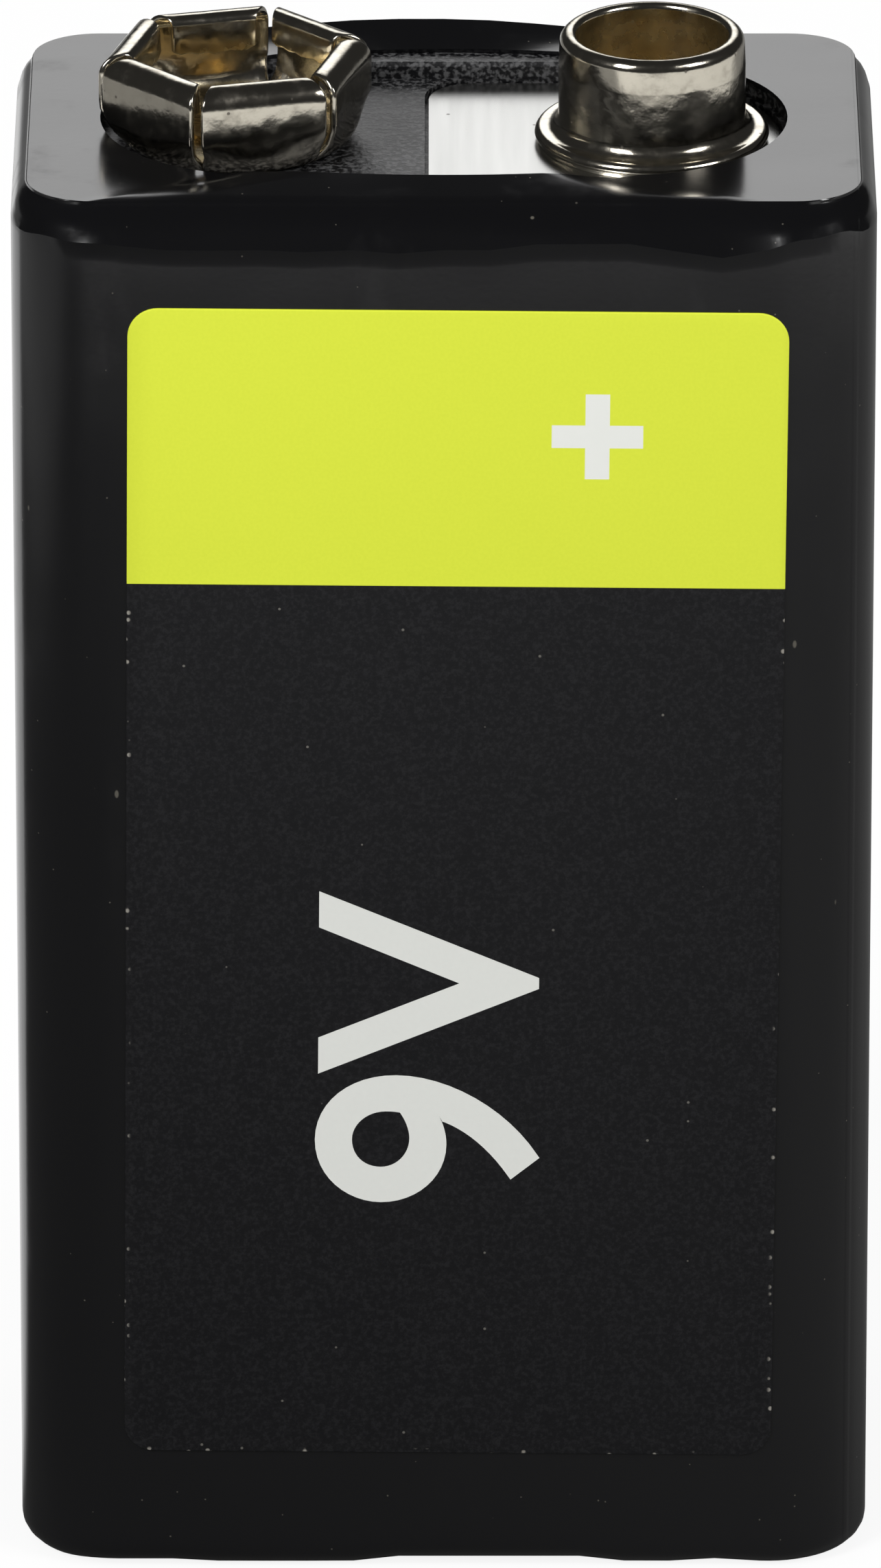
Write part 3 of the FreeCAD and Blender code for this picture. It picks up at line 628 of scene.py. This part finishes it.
class BLOCK_OT_film(bpy.types.Operator):
    """Model the shrink film: rounded corners, a wavy collar, and a mouth round the terminals"""
    bl_idname = "block.film"
    bl_label = "Film"

    def execute(self, context):
        settings = context.scene.block_film
        size = FILM_HIGH - FILM_LOW
        middle = (FILM_HIGH + FILM_LOW) / 2
        deselect_all()
        bpy.ops.mesh.primitive_cube_add(size=1, location=middle, scale=size)
        piece = bpy.context.active_object
        apply_place(piece)
        start_edit(piece)
        self.round_edges(settings)
        self.add_rows()
        self.open_mouth(settings)
        self.open_base(settings)
        self.shape_collar(settings)
        self.shape_foot()
        end_edit()
        tidy_faces(piece)
        modify(piece, "SOLIDIFY", thickness=settings.thick, offset=-1, use_even_offset=True)
        smooth(piece, 21)
        settle(piece, "shrink_film", film_finish(settings), "film", "shrink_sleeve")
        return {"FINISHED"}

    def round_edges(self, settings):
        near = 0.01 * MM
        top = FILM_HIGH.z
        pick("EDGE", lambda edge: abs(ends(edge)[0].z - ends(edge)[1].z) > MM)
        round_off(settings.corner, 14)
        pick("EDGE", lambda edge: all(end.z > top - near for end in ends(edge)))
        round_off(settings.collar_deep, COLLAR_STEPS)
        pick("EDGE", lambda edge: all(end.z < near for end in ends(edge)))
        round_off(settings.foot, 5)
        self.draw_collar(settings)

    def draw_collar(self, settings):
        """Draws the rounded collar's rows to its real section: a small step, then one long round."""
        top = FILM_HIGH.z
        deep = settings.collar_deep
        # how far in each row lies and how far under the top, as shares of the collar's depth and height
        section = [(0.0, 1.0), (0.085, 0.85), (0.165, 0.70), (0.25, 0.56), (0.40, 0.40), (0.58, 0.265),
                   (0.74, 0.16), (0.81, 0.11), (0.845, 0.04), (0.90, 0.013), (1.0, 0.0)]
        turns = [math.radians(90 * step / COLLAR_STEPS) for step in range(COLLAR_STEPS + 1)]
        rows = [(deep * (1 - math.cos(turn)), deep * math.sin(turn)) for turn in turns]
        for (inset, height), (share, fall) in reversed(list(zip(rows, section))):
            level = top - deep + height
            pick("VERT", lambda vert: abs(vert.co.z - level) < NEAR)
            wider = (FILM_HIGH.x - share * settings.collar_side) / (FILM_HIGH.x - inset)
            deeper = (FILM_HIGH.y - share * deep) / (FILM_HIGH.y - inset)
            resize(wider, deeper, 1)
            move((0, 0, top - fall * settings.collar_tall - level))

    def add_rows(self):
        """Rows of edges for the waves of the collar and of the foot."""
        across_pitch = 1.4
        deep_pitch = 1.5
        for step in range(-7, 8):
            cut_plane((step * across_pitch * MM, 0, 0), (1, 0, 0))
        for step in range(-3, 4):
            cut_plane((0, step * deep_pitch * MM, 0), (0, 1, 0))
        for drop in (0.0, 0.10, 0.5, 1.2, 2.4, 5.0):
            cut_plane((0, 0, COLLAR_LINE - drop * MM), (0, 0, 1))
        for rise in (1.2, 2.5, 5.0, 12.0, 22.0, 32.0):
            cut_plane((0, 0, rise * MM), (0, 0, 1))

    def open_mouth(self, settings):
        """A bowed racetrack mouth in the flat top, joined to the collar by rings of faces."""
        top = FILM_HIGH.z
        flat = FLAT_BAND
        end_gap = 1.2 * MM    # the mouth's edge stays this far inside the collar at its ends
        side_gap = 0.6 * MM    # and this far at its sides
        pick("FACE", lambda face: all(vert.co.z > top - flat for vert in face.verts))
        bpy.ops.mesh.delete(type="FACE")
        bpy.ops.mesh.select_mode(type="VERT")
        bpy.ops.mesh.select_all(action="DESELECT")
        bpy.ops.mesh.primitive_circle_add(vertices=76, radius=MOUTH_RADIUS, location=(0, 0, top))
        rim_wide = FILM_HIGH.x - settings.collar_side
        rim_deep = FILM_HIGH.y - settings.collar_deep

        def ring(vert):
            inside = abs(vert.co.x) < rim_wide - end_gap and abs(vert.co.y) < rim_deep - side_gap
            return inside and vert.co.z > top - flat

        for side in (1, -1):
            pick("VERT", lambda vert: ring(vert) and vert.co.x * side > flat)
            move((side * MOUTH_CENTRE, 0, 0))
        for side in (1, -1):
            pick("VERT", lambda vert: ring(vert) and abs(vert.co.x) < flat and vert.co.y * side > 0)
            move((0, side * MOUTH_BOW[side], 0))
        pick("EDGE", lambda edge: all(ring(vert) for vert in edge.verts)
             and abs(ends(edge)[0].x - ends(edge)[1].x) > 2 * MM)
        bpy.ops.mesh.subdivide(number_cuts=7)
        self.bow_sides(ring)

        def open_edge(edge):
            level = all(end.z > top - flat for end in ends(edge))
            return level and len(edge.link_faces) < 2

        pick("EDGE", open_edge)
        bpy.ops.mesh.bridge_edge_loops()
        self.draw_flat(ring, top, rim_deep, settings)

    def draw_flat(self, ring, top, rim_deep, settings):
        """Between the terminals the film is tight: its rear ridge and the mouth's front edge rise."""
        pick("VERT", ring)
        bpy.ops.mesh.hide(unselected=False)
        near = 0.06 * MM
        ridge_middle, ridge_half, ridge_reach = -0.9 * MM, 1.2 * MM, 7.5 * MM
        lift_middle, lift_half, lift_reach = -1.0 * MM, 4.0 * MM, 2.6 * MM
        pick("VERT", lambda vert: not vert.hide and vert.co.z > top - near
             and abs(vert.co.x - ridge_middle) < ridge_half and vert.co.y > rim_deep - near)
        move((0, 0, settings.rear_ridge), ridge_reach)
        bpy.ops.mesh.reveal(select=False)
        pick("VERT", lambda vert: not ring(vert))
        bpy.ops.mesh.hide(unselected=False)
        pick("VERT", lambda vert: not vert.hide and abs(vert.co.x - lift_middle) < lift_half
             and vert.co.y < 0)
        move((0, 0, settings.front_lift), lift_reach)
        bpy.ops.mesh.reveal(select=False)

        def spoke(edge):
            return ring(edge.verts[0]) != ring(edge.verts[1])

        pick("EDGE", spoke)
        bpy.ops.mesh.subdivide(number_cuts=3)

    def bow_sides(self, ring):
        """The long sides of the mouth as two flat arcs."""
        side_from = MOUTH_RADIUS * 0.9    # only the two sides lie beyond this
        arc_half = MOUTH_CENTRE + 1.2 * MM    # where the arcs would come down to the ends' level
        mesh = bmesh.from_edit_mesh(bpy.context.edit_object.data)
        places = sorted({round(vert.co.x / MM, 3) for vert in mesh.verts
                         if ring(vert) and abs(vert.co.x) < MOUTH_CENTRE and abs(vert.co.y) > side_from})
        for place in places:
            for side in (1, -1):
                found = pick("VERT", lambda vert: ring(vert) and vert.co.y * side > side_from
                             and abs(vert.co.x - place * MM) < NEAR / 2)
                if not found:
                    continue
                mesh = bmesh.from_edit_mesh(bpy.context.edit_object.data)
                now = next(vert.co.y for vert in mesh.verts if vert.select)
                share = 1 - (place * MM / arc_half) ** 2
                move((0, side * (MOUTH_RADIUS + MOUTH_BOW[side] * share) - now, 0))

    def open_base(self, settings):
        """Opens the underside but for a lap of film along its edges."""
        pick("FACE", lambda face: face.normal.z < -0.99
             and all(vert.co.z < FLAT_BAND for vert in face.verts))
        bpy.ops.mesh.delete(type="FACE")
        pick("EDGE", lambda edge: edge.is_boundary and all(end.z < FLAT_BAND for end in ends(edge)))
        bpy.ops.mesh.extrude_edges_move()
        inner = settings.lap - settings.foot
        wide = FILM_HIGH.x - settings.foot
        deep = FILM_HIGH.y - settings.foot
        resize((wide - inner) / wide, (deep - inner) / deep, 1)

    def shape_collar(self, settings):
        """A small step under the collar, and its uneven lower edge."""
        line = COLLAR_LINE
        front = FILM_LOW.y
        lower = 0.12    # mm that the whole edge sits lower than its waves say
        pick("VERT", lambda vert: 2.0 * MM < vert.co.z < line - 0.05 * MM)
        step = settings.collar_proud
        thinner = 1 - step / (2 * FILM_HIGH.y)
        resize(1, thinner, 1, (0, front, 0))
        # heights over the edge in mm between which the film stands out, and by what share of the step
        for low, high, share in ((-0.05, 0.15, 1.0), (0.15, 0.35, 0.85), (0.35, 0.55, 0.55)):
            pick("VERT", lambda vert: line + low * MM < vert.co.z < line + high * MM
                 and vert.co.y < front + 0.35 * MM)
            move((0, -step * share, 0))
        # place across and rise in mm
        waves = [
            (-11.3, 0.32), (-9.2, 0.24), (-7.0, 0.10), (-4.2, 0.05), (-1.4, 0.0), (2.8, 0.32),
            (4.9, 0.33), (7.0, 0.08), (8.4, -0.15), (9.8, 0.08), (11.3, 0.45),
        ]
        for place, rise in waves:
            pick("VERT", lambda vert: abs(vert.co.x - place * MM) < 0.75 * MM
                 and vert.co.y < front + 0.9 * MM and abs(vert.co.z - line + 0.05 * MM) < 0.1 * MM)
            move((0, 0, (rise - lower) * MM), 1.3 * MM)

    def shape_foot(self):
        """The film drew up a little along the front's lower edge."""
        edge = 0.8 * MM
        for place, half, rise in ((1.5, 3.5, 0.17), (-9.4, 1.2, 0.08), (8.2, 1.0, 0.09)):
            pick("VERT", lambda vert: vert.co.y < FILM_LOW.y + edge and 0.01 * MM < vert.co.z < edge
                 and abs(vert.co.x - place * MM) < half * MM)
            move((0, 0, rise * MM), 1.6 * MM)


class BLOCK_OT_sticker(bpy.types.Operator):
    """Model the sticker on the front and the word printed on it"""
    bl_idname = "block.sticker"
    bl_label = "Sticker"

    def execute(self, context):
        settings = context.scene.block_sticker
        middle = (LABEL_LOW + LABEL_HIGH) / 2
        thick = LABEL_HIGH.y - LABEL_LOW.y - 0.008 * MM    # leaves room for the ink over it
        deselect_all()
        bpy.ops.mesh.primitive_cube_add(size=1, location=ORIGIN,
                                        scale=(STICKER_WIDE, thick, STICKER_TALL))
        piece = bpy.context.active_object
        apply_place(piece)
        start_edit(piece)
        pick("EDGE", lambda edge: abs(ends(edge)[0].y - ends(edge)[1].y) > 0.01 * MM)
        round_off(settings.corner, 10)
        pick("EDGE", lambda edge: all(end.y < -thick * 0.4 for end in ends(edge)))
        round_off(0.03 * MM, 3)
        end_edit()
        piece.rotation_euler = (0, settings.turn, 0)
        piece.location = (middle.x, LABEL_HIGH.y - thick / 2, middle.z)
        smooth(piece, 40)
        settle(piece, "front_sticker", sticker_finish(settings), "label_print", "front_label")
        self.print_word(settings, middle)
        return {"FINISHED"}

    def print_word(self, settings, middle):
        """The type of the block as thin ink, read from the bottom up."""
        capital_share = 0.70    # a capital's height over the font's size
        bpy.ops.object.text_add(location=ORIGIN)
        word = bpy.context.active_object
        word.data.body = settings.word
        word.data.align_x = "CENTER"
        word.data.align_y = "CENTER"
        word.data.size = settings.word_tall / capital_share
        word.data.offset = 0.02 * settings.word_tall
        word.data.extrude = 0.006 * MM
        word.data.resolution_u = 12
        activate(word)
        bpy.ops.object.convert(target="MESH")
        piece = bpy.context.active_object
        lay = Matrix.Rotation(math.radians(90), 4, "X")
        stand = Matrix.Rotation(-math.radians(90) + settings.turn, 4, "Y")
        place = Matrix.Translation((middle.x - 0.4 * MM, LABEL_LOW.y + 0.006 * MM, middle.z - 5.5 * MM))
        piece.matrix_world = place @ stand @ lay
        tidy_faces(piece)
        smooth(piece, 30)
        settle(piece, "printed_word", ink_finish(settings), "label_print")


class BLOCK_OT_stud(bpy.types.Operator):
    """Model the round stud: a wall folded over at the top, a flared foot and a beaded flange"""
    bl_idname = "block.stud"
    bl_label = "Stud"

    def execute(self, context):
        settings = context.scene.block_terminals
        foot = STUD_LOW.z
        top = STUD_HIGH.z
        wall = settings.stud_radius
        bore = settings.stud_bore
        edge = settings.flange_radius
        floor = foot + 0.25 * MM
        web = foot + 0.40 * MM
        crest = foot + 0.50 * MM
        skirt = foot + 0.13 * MM
        tuck = edge - 0.10 * MM
        outline = [
            (RIVET_HOLE, foot), (RIVET_HOLE, floor), (bore, floor), (bore, top),
            (wall - 0.05 * MM, top), (wall, top - 1.0 * MM), (wall, web), (edge, crest),
            (edge, skirt), (tuck, skirt), (tuck, foot),
        ]
        radii = [0.02 * MM, 0.02 * MM, 0.20 * MM, 0.18 * MM, 0.33 * MM, 1.2 * MM, 0.40 * MM, 0.22 * MM,
                 0.12 * MM, 0, 0.03 * MM]
        section = [tuple(point) for point in rounded(outline, radii)]
        piece = lathe("stud", STUD_AXIS, section, 144)
        smooth(piece, 45)
        settle(piece, "stud_terminal", nickel_finish(settings), "terminal_nickel", "positive_stud")
        return {"FINISHED"}


class BLOCK_OT_socket(bpy.types.Operator):
    """Model the spring socket: six petals rolled in at the top, on one floor"""
    bl_idname = "block.socket"
    bl_label = "Socket"

    def execute(self, context):
        settings = context.scene.block_terminals
        low = SOCKET_LOW.z
        sheet = settings.petal_sheet
        flat = settings.petal_flat
        tall = SOCKET_HIGH.z - low
        floor = low + sheet + 0.01 * MM
        rim = flat - 0.75 * MM
        disc = [(RIVET_HOLE, low), (RIVET_HOLE, floor), (rim, floor), (rim, low)]
        pieces = [lathe("socket_floor", SOCKET_AXIS, disc, 96)]
        first = self.make_petal(settings, tall)
        for number, (narrower, degrees, lower) in enumerate(PETAL_WAYS):
            petal = copy_of(first, f"petal_{number + 1}")
            start_edit(petal)
            pick("VERT", lambda vert: vert.co.x < flat - 0.6 * MM
                 and 0.8 * MM < vert.co.z < tall - 0.8 * MM)
            move((0, 0, -lower * MM))
            pick("VERT", lambda vert: vert.co.z > 0.9 * MM)
            resize(1, 1 - narrower, 1)
            end_edit()
            turn = settings.petal_turn + 2 * math.pi * number / PETALS
            hinge = Matrix.Translation((flat - 0.8 * MM, 0, 0))
            lean = hinge @ Matrix.Rotation(math.radians(degrees), 4, "Y") @ hinge.inverted()
            place = Matrix.Translation((SOCKET_AXIS.x, SOCKET_AXIS.y, low))
            petal.matrix_world = place @ Matrix.Rotation(turn, 4, "Z") @ lean
            apply_place(petal)
            pieces.append(petal)
        activate(first)
        bpy.ops.object.delete()
        piece = join_pieces(pieces)
        smooth(piece, 50)
        nickel = bpy.data.materials["drawn_nickel"]
        settle(piece, "socket_terminal", nickel, "terminal_nickel", "negative_socket")
        return {"FINISHED"}

    def make_petal(self, settings, tall):
        """One petal: a strip drawn out, up, in over the top and down, as wide as its place allows."""
        sheet = settings.petal_sheet
        flat = settings.petal_flat
        outline = [(flat - 0.95 * MM, 0.0), (flat, 0.0), (flat, 0.95 * MM), (flat, 1.2 * MM),
                   (flat, 1.5 * MM), (flat, tall), (flat - 0.98 * MM, tall),
                   (flat - 1.04 * MM, tall - 1.12 * MM)]
        radii = [0, 0.72 * MM, 0, 0, 0, 0.64 * MM, 0.30 * MM, 0]
        section = rounded(outline, radii, 7)
        half_turn = math.pi / PETALS
        spread = math.tan(half_turn)
        trim = 0.19 * MM / math.cos(half_turn)    # half of the slot between two petals
        slot_foot = 0.3 * MM
        slot_rise = 0.35 * MM    # height over which the slot opens

        def half_width(point):
            opened = min(max((point[1] - slot_foot) / slot_rise, 0.02), 1)
            return point[0] * spread - trim * opened

        deselect_all()
        first = section[0]
        bpy.ops.mesh.primitive_plane_add(size=1, location=(first[0], 0, first[1]))
        petal = bpy.context.active_object
        apply_place(petal)
        start_edit(petal)
        pick("VERT", lambda vert: vert.co.x > first[0])
        bpy.ops.mesh.delete(type="VERT")
        pick("VERT", lambda vert: True)
        move((0.5, 0, 0))
        resize(1, 2 * half_width(first), 1, (first[0], 0, 0))
        bpy.ops.mesh.select_mode(type="EDGE")
        pick_all()
        bpy.ops.mesh.subdivide(number_cuts=2 * HALF_COLUMNS - 1)
        pick_all()
        before = first
        for point in section[1:]:
            bpy.ops.mesh.extrude_edges_move()
            move((point[0] - before[0], 0, point[1] - before[1]))
            grow = half_width(point) / half_width(before)
            resize(1, grow, 1, (point[0], 0, 0))
            before = point
        self.round_foot(section, half_width)
        self.tear_lip(section[-1], half_width(section[-1]))
        pick_all()
        bpy.ops.mesh.normals_make_consistent(inside=False)
        end_edit()
        modify(petal, "SOLIDIFY", thickness=sheet, offset=-1, use_even_offset=True)
        modify(petal, "BEVEL", width=0.07 * MM, segments=3, limit_method="ANGLE",
               angle_limit=math.radians(60))
        tidy_faces(petal)
        return petal

    def round_foot(self, section, half_width):
        """Draws the petal's foot in towards a circle, as the cup's bottom is round."""
        flat_from = 1.25 * MM    # height where the petal is flat, after its round foot fades out
        fade = 0.95 * MM
        for point in section:
            share = min(max((flat_from - point[1]) / fade, 0), 1)
            if not share:
                continue
            for column in range(1, HALF_COLUMNS + 1):
                side = half_width(point) * column / HALF_COLUMNS
                turned = math.atan2(side, point[0])
                pick("VERT", lambda vert: abs(vert.co.x - point[0]) < NEAR
                     and abs(vert.co.z - point[1]) < NEAR and abs(abs(vert.co.y) - side) < NEAR)
                inward = 1 - share * (1 - math.cos(turned))
                resize(inward, inward, 1)

    def tear_lip(self, end, half):
        """The lip's lower edge is rough: its corners are cut back and its middle is uneven."""
        rises = (0.16, 0.03, -0.02, 0.05, 0.01, -0.03, 0.04, 0.0, 0.06, 0.02, 0.12)
        for column, rise in enumerate(rises):
            side = half * (column - HALF_COLUMNS) / HALF_COLUMNS
            pick("VERT", lambda vert: abs(vert.co.z - end[1]) < NEAR and abs(vert.co.y - side) < NEAR)
            move((0, 0, rise * MM))


class BLOCK_OT_solids(bpy.types.Operator):
    """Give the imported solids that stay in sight, and those inside the block, their finishes"""
    bl_idname = "block.solids"
    bl_label = "Solids"

    def execute(self, context):
        case = case_finish()
        card = card_finish()
        brass = strip_finish("turned_brass", (0.62, 0.43, 0.17), 0.22)
        strip = strip_finish("rolled_nickel", (0.62, 0.60, 0.56), 0.24)
        can = strip_finish("plated_can", (0.56, 0.56, 0.55), 0.3)
        plate = plate_finish()
        finishes = {"case_": case, "base_lid": case, "contact_plate": plate, "stud_rivet": brass,
                    "socket_rivet": brass, "positive_lead": strip, "negative_lead": strip,
                    "link_tab": strip, "cell_ring": card, "base_card": card, "top_card": card,
                    "side_card": card, "cell_": can}
        for node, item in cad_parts.items():
            if item.hide_render:
                continue
            start = next((word for word in finishes if node.startswith(word)), None)
            if start is None:
                raise RuntimeError(f"{node} has no finish")
            dress(node, finishes[start])
        return {"FINISHED"}


class BLOCK_OT_stage(bpy.types.Operator):
    """Lay the floor and set the lights, the surroundings and the camera"""
    bl_idname = "block.stage"
    bl_label = "Stage"

    def execute(self, context):
        settings = context.scene.block_stage
        self.lay_floor(settings)
        for light in LIGHTS:
            self.add_light(*light)
        self.set_surroundings(context.scene)
        self.set_camera(context.scene, settings)
        context.scene.view_settings.view_transform = "Standard"
        return {"FINISHED"}

    def lay_floor(self, settings):
        """A white floor to the camera. In reflections its colour is painted light and shade: dim near the
        block as painted shade, bright farther off as a painted pool of light, with a painted glow left of
        the block.
        """
        deselect_all()
        bpy.ops.mesh.primitive_plane_add(size=FLOOR_SIZE, location=ORIGIN)
        floor = bpy.context.active_object
        floor.name = "pale_floor"
        look = Finish("pale_floor", rough=0.9, specular=0.1)
        seen = look.add("ShaderNodeLightPath", out="Is Camera Ray")
        across, deep, up = look.split(look.place())
        far = look.vector_maths("LENGTH", look.stretch(look.place(), 1.0, 1.0, 0.0), out="Value")
        # Painted light and shade in reflections: the floor's level is dark near the block, where the
        # block's shade would fall, and brighter farther off and to the sides.
        side = look.fade(across * 0.64 - deep * 0.77, 10 * MM, 75 * MM)
        far_level = look.fade(side, 0.0, 1.0, 0.25, 0.78)
        ahead = look.fade(far, 117 * MM, 138 * MM) * look.fade(far, 400 * MM, 620 * MM, 1.0, 0.0)
        near = look.fade(across, -30 * MM, 40 * MM, 0.09, 0.21)
        near = near + look.fade(across, -112 * MM, -85 * MM, 0.30, 0.0)
        # Painted glow: left of the block and toward its back, the floor shines in reflections though it
        # is no lamp.
        behind = look.fade((across + 12.8 * MM) * 0.62 + (deep + 4.0 * MM) * 0.79, -1 * MM, 3 * MM)
        behind = behind * look.fade(across, -12.8 * MM, -11 * MM, 1.0, 0.0)
        behind = behind * look.fade(far, 150 * MM, 260 * MM, 1.0, 0.0)
        level = near + ahead * (far_level - near)
        painted_reflection_tone = look.blend(level, (0.0, 0.0, 0.0), (1.0, 1.0, 0.99))
        look.set(base=look.blend(seen, painted_reflection_tone, settings.floor))
        glow = look.add("ShaderNodeEmission", values={"Color": (1.0, 1.0, 1.0),
                                                      "Strength": seen + (1 - seen) * 1.05})
        surface = look.tree.nodes["Material Output"].inputs["Surface"]
        plain = Wire(look, look.shader.outputs[0])
        share = look.maths("MAXIMUM", seen * 0.88, (1 - seen) * behind)
        mixed = look.add("ShaderNodeMixShader", values={0: share, 1: plain, 2: glow})
        look.join(surface, mixed)
        floor.data.materials.append(look.material)

    def add_light(self, name, where, size, power):
        bpy.ops.object.light_add(type="AREA", location=where)
        lamp = bpy.context.active_object
        lamp.name = name
        lamp.data.shape = "RECTANGLE"
        lamp.data.size = size[0]
        lamp.data.size_y = size[1]
        lamp.data.energy = power
        lamp.rotation_euler = (LIGHT_TARGET - Vector(where)).to_track_quat("-Z", "Y").to_euler()

    def set_surroundings(self, scene):
        """White past the floor to the camera, and in reflections bright behind and dark overhead."""
        world = bpy.data.worlds.new("studio")
        world.use_nodes = True
        scene.world = world
        sky = Sheet(world.node_tree)
        way = sky.add("ShaderNodeTexCoord", out="Generated")
        across, deep, up = sky.split(way)
        rear = (deep > 0) * sky.fade(abs(across), 0.10, 0.30, 1.0, 0.0)
        rear = rear * sky.fade(up, 0.12, 0.28) * sky.fade(up, 0.46, 0.62, 1.0, 0.0)
        overhead, rear_power, fill = 0.028, 1.9, 0.55
        level = overhead + rear_power * rear
        path = {name: sky.add("ShaderNodeLightPath", out=name)
                for name in ("Is Camera Ray", "Is Diffuse Ray")}
        strength = path["Is Diffuse Ray"] * fill + (1 - path["Is Diffuse Ray"]) * level
        strength = path["Is Camera Ray"] + (1 - path["Is Camera Ray"]) * strength
        light = world.node_tree.nodes["Background"]
        sky.join(light.inputs["Strength"], strength)
        sky.join(light.inputs["Color"], (1.0, 1.0, 1.0))

    def set_camera(self, scene, settings):
        aim = Vector(settings.aim)
        back = Vector((0, -math.cos(settings.elevation), math.sin(settings.elevation)))
        bpy.ops.object.camera_add(location=aim + back * settings.distance)
        camera = bpy.context.active_object
        camera.name = "photo_camera"
        camera.rotation_euler = (-back).to_track_quat("-Z", "Y").to_euler()
        camera.data.lens = settings.focal
        camera.data.sensor_width = SENSOR_WIDE
        camera.data.clip_start = CLIP_START
        camera.data.clip_end = CLIP_END
        scene.camera = camera


class BLOCK_PT_panel(bpy.types.Panel):
    """The steps that dress the block, in order"""
    bl_idname = "BLOCK_PT_panel"
    bl_label = "Nine volt block"
    bl_space_type = "VIEW_3D"
    bl_region_type = "UI"
    bl_category = "Block"

    def draw(self, context):
        for step in STEPS:
            self.layout.operator(step.bl_idname)
        for group in GROUPS:
            box = self.layout.box()
            settings = getattr(context.scene, group)
            for name in settings.__annotations__:
                box.prop(settings, name)


STEPS = (BLOCK_OT_film, BLOCK_OT_sticker, BLOCK_OT_stud, BLOCK_OT_socket, BLOCK_OT_solids,
         BLOCK_OT_stage)
GROUPS = {"block_film": FilmSettings, "block_sticker": StickerSettings,
          "block_terminals": TerminalSettings, "block_stage": StageSettings}
CLASSES = (*GROUPS.values(), *STEPS, BLOCK_PT_panel)


def register():
    for item in CLASSES:
        bpy.utils.register_class(item)
    for name, group in GROUPS.items():
        setattr(bpy.types.Scene, name, PointerProperty(type=group))


def unregister():
    for name in GROUPS:
        delattr(bpy.types.Scene, name)
    for item in reversed(CLASSES):
        bpy.utils.unregister_class(item)


def main():
    register()
    for step in STEPS:
        family, name = step.bl_idname.split(".")
        getattr(getattr(bpy.ops, family), name)()


if __name__ == "__main__":
    main()
